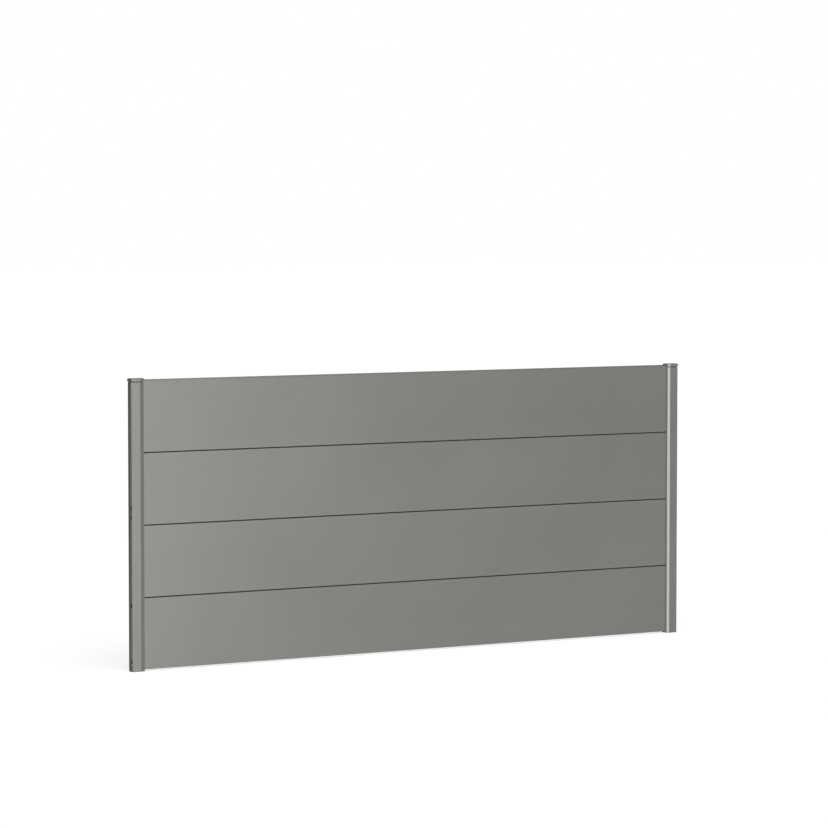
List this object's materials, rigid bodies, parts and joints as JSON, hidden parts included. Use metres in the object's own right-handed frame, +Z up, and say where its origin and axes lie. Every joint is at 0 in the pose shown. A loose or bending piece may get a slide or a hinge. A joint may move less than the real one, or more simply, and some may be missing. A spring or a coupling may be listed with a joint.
{
  "type": "privacy screen panel",
  "caption": "Ready-made privacy screen panel: hollow metal boards stacked between two slotted end posts with caps and feet.",
  "frame": {"origin": "on the ground under the middle of the panel", "axes": "+X along the panel to the right as seen from the front, front towards -Y, +Z up"},
  "size_m": [2.0034, 0.0284, 0.897],
  "materials": {
    "panel_paint": "warm grey metallic powder coat, satin",
    "strip_metal": "plain extruded aluminium, dull",
    "screw_steel": "stainless steel, satin"
  },
  "bodies": {
    "root": {"board_1": "panel_paint", "board_2": "panel_paint", "board_3": "panel_paint", "board_4": "panel_paint", "top_strip": "panel_paint", "left_post": "panel_paint", "right_post": "panel_paint", "left_cap": "panel_paint", "right_cap": "panel_paint", "left_foot": "panel_paint", "right_foot": "panel_paint", "joint_strip_1": "strip_metal", "joint_strip_2": "strip_metal", "joint_strip_3": "strip_metal", "left_board_screws": "screw_steel", "right_board_screws": "screw_steel", "left_foot_screws": "screw_steel", "right_foot_screws": "screw_steel"}
  },
  "joints": []
}
